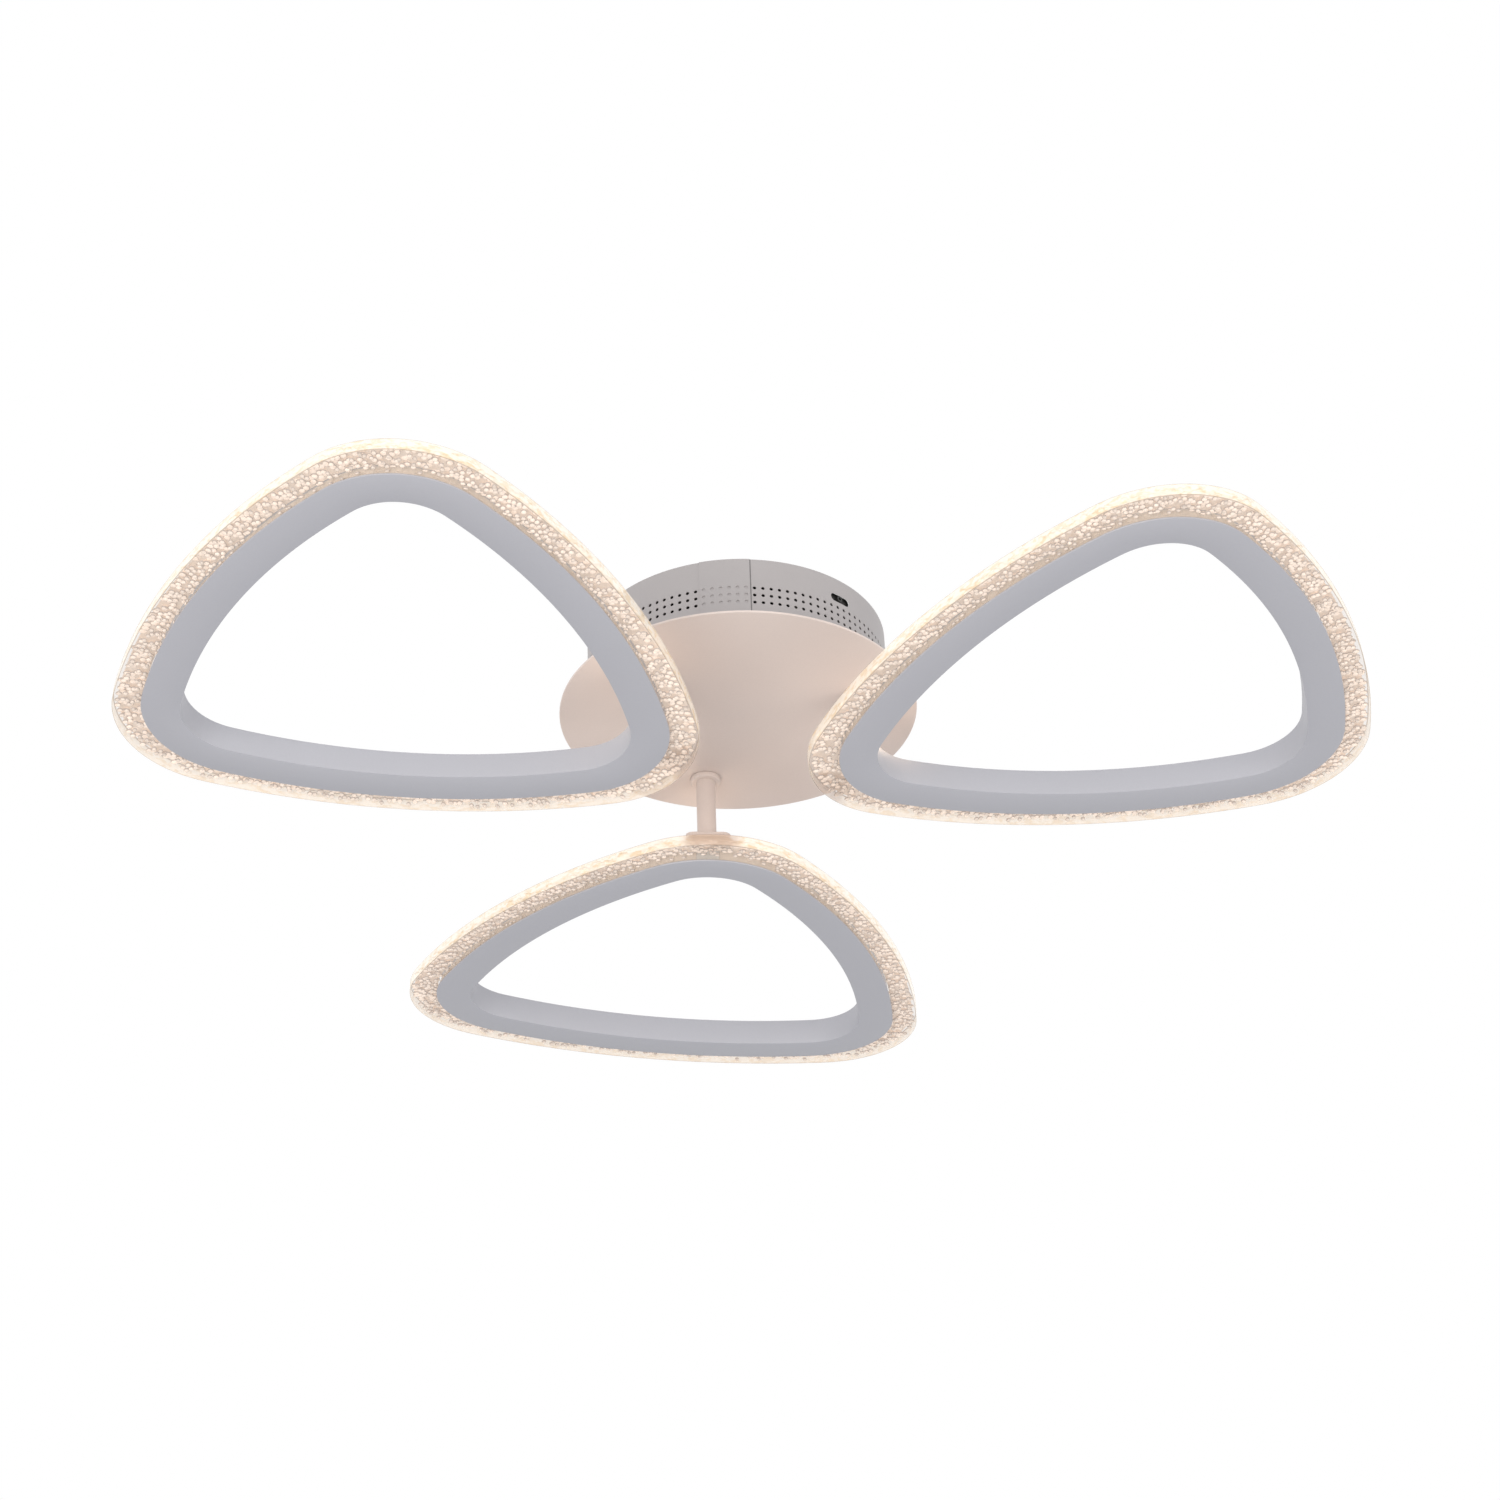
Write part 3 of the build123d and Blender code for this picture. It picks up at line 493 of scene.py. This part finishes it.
moulded = coated("moulded_plastic", (0.68, 0.68, 0.66), roughness=0.38, grain=0.0006)
for node in ("driver_case", "driver_cover", "terminal_block"):
    dress(node, moulded)
board_green, shader, add = new_material("board_green")
place = add("ShaderNodeTexCoord").outputs["Object"]
lines = add("ShaderNodeTexVoronoi", {"Vector": place, "Scale": 260.0}, distance="CHEBYCHEV")
pads = ramp(add, lines.outputs["Distance"], (0.55, 0.52, 0.42), (0.012, 0.09, 0.035), 0.10, 0.16)
fill(shader, {"Base Color": pads, "Roughness": 0.35})
dress("driver_board", board_green)
zinc = coated("zinc_plate", (0.60, 0.61, 0.63), roughness=0.34, metallic=1.0, cloud=0.06)
coat_over_ends("driver_screws", zinc)
coat_over_ends("terminal_screws", screw_brass)


# Arms: steel tube with a turned collar under the base, in the canopy's warm white with the rings'
# warm light painted in. The washer and the lock nut inside are zinc plated, and the lead in the tube
# ends in a small white plug.
ring_names = ("far", "right", "left")
soft_sheath = coated("soft_sheath", (0.66, 0.66, 0.64), roughness=0.55, grain=0.0012)
for ring in ring_names:
    polished(ring + "_arm_tube", ring_lit_canopy_coat)
    polished(ring + "_arm_collar", ring_lit_canopy_coat)
    polished(ring + "_arm_foot", ring_lit_canopy_coat)
    polished(ring + "_arm_washer", zinc)
    polished(ring + "_arm_lock_nut", zinc)
    polished(ring + "_arm_lead", soft_sheath)


# Ring channels: folded sheet with a wide flat face below, coated satin white, which is drawn a pale
# grey in painted shade. The section is drawn once and swept round the rounded triangle, whose three
# corners and three sides are arcs.
arm_radius = 0.076
ring_headings = (101.4, -21.5, 214.2)
ring_reach = 0.1624
ring_side_offset = 0.00975
face_level = -0.115
ring_rise = math.radians(4.6)
ring_fall = math.radians(1.24)
corner_distance = 0.1098
corner_radius = 0.0602
side_radius = 0.3905
channel_stations = 300
face_width = 0.023
sheet = 0.0012
wall_high = 0.016
wall_set_in = 0.0030
# painted shade: the satin white coat is drawn a grey, darker than the canopy's copy of the same white
ring_paint = coated("ring_paint", (0.415, 0.412, 0.438), roughness=0.42, cloud=0.008)


def ring_place(index):
    """Where a ring's own frame lies: the arm's axis, the ring's heading, the face level and the tilt."""
    azimuth = math.radians(arm_azimuths[index])
    at_arm = Matrix.Translation((arm_radius * math.cos(azimuth), arm_radius * math.sin(azimuth), face_level))
    turned = Matrix.Rotation(math.radians(ring_headings[index] - 90), 4, "Z")
    tilt = Matrix.Rotation(ring_rise, 4, "X") @ Matrix.Rotation(ring_fall, 4, "Y")
    return at_arm @ turned @ tilt @ Matrix.Translation((ring_side_offset, ring_reach, 0.0))


def arc_reach(heading, distance, corner, side):
    """How far the outline lies from the ring's middle in one direction."""
    turn = (heading + math.pi / 2) % (2 * math.pi / 3)
    turn = min(turn, 2 * math.pi / 3 - turn)
    side_centre = math.sqrt((side - corner) ** 2 - 0.75 * distance ** 2) - distance / 2
    centre = Vector((distance, 0.0))
    third = math.radians(120)
    far_centre = Vector((side_centre * math.cos(third), -side_centre * math.sin(third)))
    touch = far_centre + (centre - far_centre).normalized() * side
    middle, radius = (centre, corner) if turn < abs(math.atan2(touch.y, touch.x)) else (far_centre, side)
    aim = Vector((math.cos(turn), math.sin(turn)))
    along = middle.dot(aim)
    return along + math.sqrt(along ** 2 - middle.length_squared + radius ** 2)


def ring_path():
    """Points round the ring's outline, evenly spaced in direction."""
    points = []
    for k in range(channel_stations):
        heading = 2 * math.pi * k / channel_stations
        distance = arc_reach(heading, corner_distance, corner_radius, side_radius)
        points.append(Vector((distance * math.cos(heading), distance * math.sin(heading), 0.0)))
    return points


def curve_of(name, points):
    """A closed curve through plain points."""
    data = bpy.data.curves.new(name, "CURVE")
    data.dimensions = "3D"
    spline = data.splines.new("POLY")
    spline.points.add(len(points) - 1)
    for knot, point in zip(spline.points, points):
        knot.co = (*point, 1.0)
    spline.use_cyclic_u = True
    return put(name, data)


# the folded section, as distance inward from the ring's outer edge and height above its face, with
# its edges broken by a few tenths of a millimetre
channel_section = [
    (0.0004, 0.0), (face_width - 0.0004, 0.0), (face_width - 0.0001, 0.0001), (face_width, 0.0005),
    (face_width, wall_high), (face_width - sheet, wall_high), (face_width - sheet, sheet),
    (wall_set_in + sheet, sheet), (wall_set_in + sheet, wall_high), (wall_set_in, wall_high),
    (wall_set_in, sheet), (0.0002, sheet), (0.0, 0.0009), (0.0, 0.0004), (0.00015, 0.0001)]

sweep_tree, given, result, add = new_tree("swept_section", [
    ("Section", "NodeSocketObject", None), ("Coat", "NodeSocketMaterial", None)])
drawn = add("GeometryNodeObjectInfo", {"Object": given["Section"]})
upright = add("GeometryNodeSetCurveNormal", {"Curve": given["Geometry"]}, mode="Z_UP")
swept = add("GeometryNodeCurveToMesh", {
    "Curve": upright.outputs[0], "Profile Curve": drawn.outputs["Geometry"]})
real = add("GeometryNodeRealizeInstances", {"Geometry": swept.outputs[0]})
coat = add("GeometryNodeSetMaterial", {"Geometry": real.outputs[0], "Material": given["Coat"]})
fill(result, {0: coat.outputs[0]})
section = curve_of("channel_section", [(-inward, -high, 0.0) for inward, high in channel_section])
for index, ring in enumerate(ring_names):
    outline = curve_of(ring + "_outline", ring_path())
    channel = grown(outline, sweep_tree, {"Section": section, "Coat": ring_paint}, ring + "_channel")
    channel.data.transform(ring_place(index))
    work = bmesh.new()
    work.from_mesh(channel.data)
    bmesh.ops.recalc_face_normals(work, faces=work.faces)
    work.to_mesh(channel.data)
    work.free()
    smooth(channel.data)
    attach(channel, ring + "_ring")
    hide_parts(ring + "_ring_frame")
bpy.data.objects.remove(section)


# Ring covers and fixings: a flat lid on each channel in the same satin white, drawn grey in painted
# shade, and zinc-plated screws and a zinc-plated block that clamp the arm's foot.
for ring in ring_names:
    polished(ring + "_ring_cover", ring_paint)
    for node in ("_cover_screws", "_foot_screws", "_foot_block"):
        polished(ring + node, zinc)
    polished(ring + "_strip_connector", moulded)


# Light strips: a white flexible strip with warm chips on it, stuck on the outer wall of the channel
# behind the acrylic.
strip_glow, shader, add = new_material("strip_glow")
place = add("ShaderNodeTexCoord").outputs["Object"]
grain = add("ShaderNodeTexNoise", {"Vector": place, "Scale": 900.0, "Detail": 2.0}).outputs["Fac"]
tint = ramp(add, grain, (0.58, 0.50, 0.43), (0.70, 0.61, 0.52))
fill(shader, {"Base Color": tint, "Emission Color": tint, "Emission Strength": 0.20, "Roughness": 0.5})
for ring in ring_names:
    dress(ring + "_led_strip", strip_glow)


# Acrylic bands: clear cast acrylic, eight millimetres thick and full of bubbles, with a clear
# margin and a polished edge. The strip behind it lights the bubbles warm, but for a dark stretch at
# the arm. That light is painted light: the bubbles and the band's edge glow by their own emission.
acrylic_distance = 0.1200
acrylic_corner = 0.06896
acrylic_side = 0.43396
acrylic_inner_gap = -0.0016
acrylic_low = 0.0015
acrylic_high = 0.0080
band_stations = 360
clear_margin = 0.0034
bed_start = 0.0008
bed_high = 0.0060
bed_steps = 4
bed_shade = 0.12
dark_half = 0.0125
dark_fade = 0.008
streak_stretch = 2.5
streak_warm = (0.80, 0.62, 0.40)
streak_pale = (0.88, 0.79, 0.66)
acrylic_unlit = (0.66, 0.49, 0.37)
acrylic_face = (0.78, 0.68, 0.58)
# painted shade: the rounded edge of the band is drawn dark brown, for the shade seen at the polished edge
acrylic_bevel_shade = (0.33, 0.255, 0.20)
bubble_rim_shade = (0.42, 0.365, 0.335)
bubble_deep = (0.60, 0.515, 0.445)
bubble_pale = (0.93, 0.80, 0.695)
bubble_unlit_share = (0.95, 0.90, 0.86)


def carried(add, name):
    """The value that the mesh carries under a name."""
    return add("ShaderNodeAttribute", attribute_name=name).outputs


clear_acrylic, shader, add = new_material("clear_acrylic")
rim = carried(add, "rim")["Fac"]
lit = carried(add, "lit")["Fac"]
bevel = carried(add, "bevel")["Fac"]
patches = add("ShaderNodeTexNoise", {
    "Vector": carried(add, "run")["Vector"], "Scale": 150.0, "Detail": 3.0, "Roughness": 0.62}).outputs["Fac"]
streaks = blend(add, ranged(add, patches, (0.40, 0.52)), streak_warm, streak_pale)
edge_colour = blend(add, lit, acrylic_unlit, streaks)
band_colour = blend(add, bevel, blend(add, rim, acrylic_face, edge_colour), acrylic_bevel_shade)
# painted light: the band's rim glows by its own emission in warm and pale streaks, for the strip's light
# leaving the edge
edge_glow = arithmetic(add, "MULTIPLY", rim, ranged(add, lit, after=(0.04, 0.26)))
seen_share = arithmetic(add, "MULTIPLY_ADD", bevel, 0.35, ranged(add, rim, after=(0.20, 0.62)))
wave = add("ShaderNodeBump", {"Height": patches, "Strength": 0.25, "Distance": 0.0006})
fill(shader, {
    "Base Color": band_colour, "Emission Color": band_colour, "Emission Strength": edge_glow,
    "Alpha": seen_share, "Normal": wave.outputs[0], "Roughness": 0.08, "IOR": 1.49})

bubble_glow, shader, add = new_material("bubble_glow")
lit = carried(add, "lit")["Fac"]
middle = ramp(add, carried(add, "shade")["Fac"], bubble_deep, bubble_pale, high_at=0.40)
# painted shade: each bubble is darker towards its equator, for the dark rim that a bubble shows in clear
# acrylic
body = blend(add, ranged(add, carried(add, "crown")["Fac"], (0.25, 0.62)), bubble_rim_shade, middle)
place = add("ShaderNodeTexCoord").outputs["Object"]
fine = add("ShaderNodeTexNoise", {"Vector": place, "Scale": 700.0, "Detail": 2.0}).outputs["Fac"]
mottle = ranged(add, fine, (0.3, 0.7), (0.90, 1.06))
toned = add("ShaderNodeVectorMath", {0: body, "Scale": mottle}, operation="SCALE").outputs[0]
dimmed = add("ShaderNodeVectorMath", {0: toned, 1: bubble_unlit_share}, operation="MULTIPLY").outputs[0]
bubble_colour = blend(add, lit, dimmed, toned)
# painted light: the bubbles glow by their own emission, for the strip's light that they scatter
fill(shader, {
    "Base Color": bubble_colour, "Emission Color": bubble_colour,
    "Emission Strength": ranged(add, lit, after=(0.18, 0.33)), "Roughness": 0.22})
bubble_glow.cycles.emission_sampling = "NONE"


def band_points(heading):
    """The band's inner and outer point in one direction, in the ring's own plane."""
    inner_corner, inner_side = corner_radius + acrylic_inner_gap, side_radius + acrylic_inner_gap
    inner = arc_reach(heading, corner_distance, inner_corner, inner_side)
    outer = arc_reach(heading, acrylic_distance, acrylic_corner, acrylic_side)
    aim = Vector((math.cos(heading), math.sin(heading), 0.0))
    return aim * inner, aim * outer


def light_at(point, arm_point):
    """One where the strip shines behind the band, falling to nought at the arm."""
    away = (point - arm_point).length
    return min(1.0, max(0.0, (away - dark_half) / dark_fade))


def acrylic_band(name, arm_point):
    """The clear band: a closed section with rounded outer edges, carried round the ring."""
    # inset from the outer edge, height above the band's lower face, on the rim, on the bevel
    half = [
        (None, 0.0, 0, 0), (0.0100, 0.0, 0, 0), (0.0011, 0.0, 0, 0), (0.0008, 0.0, 0, 0),
        (0.0002, 0.0003, 1, 1), (0.0, 0.0008, 1, 0), (0.0, 0.0040, 1, 0)]
    section = half + [
        (inset, acrylic_high - high, on_rim, on_bevel) for inset, high, on_rim, on_bevel in half[-2::-1]]
    work = bmesh.new()
    rim_layer = work.verts.layers.float.new("rim")
    bevel_layer = work.verts.layers.float.new("bevel")
    lit_layer = work.verts.layers.float.new("lit")
    run_layer = work.verts.layers.float_vector.new("run")
    loops = []
    for k in range(band_stations):
        inner, outer = band_points(2 * math.pi * k / band_stations)
        aim = (outer - inner).normalized()
        loop = []
        for inset, high, on_rim, on_bevel in section:
            flat = inner if inset is None else outer - aim * inset
            vert = work.verts.new((flat.x, flat.y, acrylic_low + high))
            vert[rim_layer] = float(on_rim)
            vert[bevel_layer] = float(on_bevel)
            vert[lit_layer] = light_at(flat, arm_point)
            vert[run_layer] = Vector((flat.x, flat.y, high * streak_stretch))
            loop.append(vert)
        loops.append(loop)
    for k in range(band_stations):
        here, there = loops[k], loops[(k + 1) % band_stations]
        for j in range(len(section)):
            following = (j + 1) % len(section)
            work.faces.new((here[j], there[j], there[following], here[following]))
    bmesh.ops.recalc_face_normals(work, faces=work.faces)
    mesh = new_mesh(work, name)
    smooth(mesh, 40.0)
    mesh.materials.append(clear_acrylic)
    return put(name, mesh)


def bubble_bed(name, arm_point):
    """A thin sheet high in the band, with the bubbles on it. It stops short of the clear margin. Its darker
    tone is painted shade for the clear acrylic between the lit bubbles.
    """
    work = bmesh.new()
    lit_layer = work.verts.layers.float.new("lit")
    shade_layer = work.verts.layers.float.new("shade")
    edge_layer = work.verts.layers.float.new("edge")
    crown_layer = work.verts.layers.float.new("crown")
    out_layer = work.verts.layers.float_vector.new("outward")
    loops = []
    for k in range(band_stations):
        inner, outer = band_points(2 * math.pi * k / band_stations)
        aim = (outer - inner).normalized()
        first = inner + aim * bed_start
        last = outer - aim * clear_margin
        loop = []
        for j in range(bed_steps + 1):
            flat = first.lerp(last, j / bed_steps)
            vert = work.verts.new((flat.x, flat.y, acrylic_low + bed_high))
            vert[lit_layer] = light_at(flat, arm_point)
            vert[shade_layer] = bed_shade
            vert[edge_layer] = j / bed_steps
            vert[out_layer] = aim
            vert[crown_layer] = 1.0
            loop.append(vert)
        loops.append(loop)
    for k in range(band_stations):
        here, there = loops[k], loops[(k + 1) % band_stations]
        for j in range(bed_steps):
            work.faces.new((here[j], here[j + 1], there[j + 1], there[j]))
    return put(name, new_mesh(work, name))


def stored(add, geometry, name, value):
    """The geometry with a value stored on its points under a name."""
    return add("GeometryNodeStoreNamedAttribute", {
        "Geometry": geometry, "Value": value, "Name": name}, data_type="FLOAT", domain="POINT").outputs[0]


bubble_tree, given, result, add = new_tree("bubbles", [
    ("Spacing", "NodeSocketFloat", 0.0025), ("Size", "NodeSocketFloat", 0.0021),
    ("Lowest", "NodeSocketFloat", -0.0046), ("Highest", "NodeSocketFloat", 0.0007),
    ("Seed", "NodeSocketInt", 1), ("Glow", "NodeSocketMaterial", None)])
spread = add("GeometryNodeDistributePointsOnFaces", {
    "Mesh": given["Geometry"], "Distance Min": given["Spacing"], "Seed": given["Seed"],
    "Density Max": 400000.0}, distribute_method="POISSON")
lift = add("FunctionNodeRandomValue", {
    2: given["Lowest"], 3: given["Highest"], "Seed": given["Seed"]}, data_type="FLOAT")
rise = add("ShaderNodeCombineXYZ", {"Z": lift.outputs[1]})
moved = add("GeometryNodeSetPosition", {"Geometry": spread.outputs["Points"], "Offset": rise.outputs[0]})
chance = add("FunctionNodeRandomValue", {"Seed": given["Seed"]}, data_type="FLOAT")
marked = stored(add, moved.outputs[0], "shade", chance.outputs[1])
outward = add("GeometryNodeInputNamedAttribute", {"Name": "outward"}, data_type="FLOAT_VECTOR")
edge = add("GeometryNodeInputNamedAttribute", {"Name": "edge"}, data_type="FLOAT").outputs[0]
aligned = add("FunctionNodeAlignRotationToVector", {"Vector": outward.outputs[0]}, axis="X")
stretch = ranged(add, edge, (0.55, 1.0), (1.0, 1.3))
squeeze = ranged(add, edge, (0.0, 0.2), (0.33, 1.0))
fitted = arithmetic(add, "MULTIPLY", stretch, squeeze)
drawn_length = add("FunctionNodeRandomValue", {2: 0.62, 3: 1.15, "Seed": given["Seed"]}, data_type="FLOAT")
length = drawn_length.outputs[1]
long_side = arithmetic(add, "MULTIPLY", fitted, length)
size = add("ShaderNodeCombineXYZ", {"X": long_side, "Y": length, "Z": 0.55})
bubble = add("GeometryNodeMeshUVSphere", {"Radius": given["Size"], "Segments": 8, "Rings": 4})
height = add("ShaderNodeSeparateXYZ", {0: add("GeometryNodeInputPosition").outputs[0]})
share_up = arithmetic(add, "ABSOLUTE", arithmetic(add, "DIVIDE", height.outputs[2], given["Size"]))
crowned = stored(add, bubble.outputs[0], "crown", share_up)
soft = add("GeometryNodeSetShadeSmooth", {"Geometry": crowned})
copies = add("GeometryNodeInstanceOnPoints", {
    "Points": marked, "Instance": soft.outputs[0], "Rotation": aligned.outputs[0], "Scale": size.outputs[0]})
both = add("GeometryNodeJoinGeometry", {"Geometry": copies.outputs[0]})
fill(both, {0: given["Geometry"]})
real = add("GeometryNodeRealizeInstances", {"Geometry": both.outputs[0]})
lit_up = add("GeometryNodeSetMaterial", {"Geometry": real.outputs[0], "Material": given["Glow"]})
fill(result, {0: lit_up.outputs[0]})

for index, ring in enumerate(ring_names):
    place = ring_place(index)
    arm_point = Vector((-ring_side_offset, -ring_reach, 0.0))
    arm_point = arm_point.normalized() * band_points(math.atan2(arm_point.y, arm_point.x))[1].length
    band = acrylic_band(ring + "_acrylic_band", arm_point)
    band.data.transform(place)
    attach(band, ring + "_ring")
    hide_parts(ring + "_acrylic_ring")
    bed = bubble_bed(ring + "_bed", arm_point)
    bubbles = grown(bed, bubble_tree, {"Seed": 11 + index, "Glow": bubble_glow}, ring + "_bubbles")
    bubbles.data.transform(place)
    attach(bubbles, ring + "_ring")

bpy.context.scene.view_settings.view_transform = "Standard"
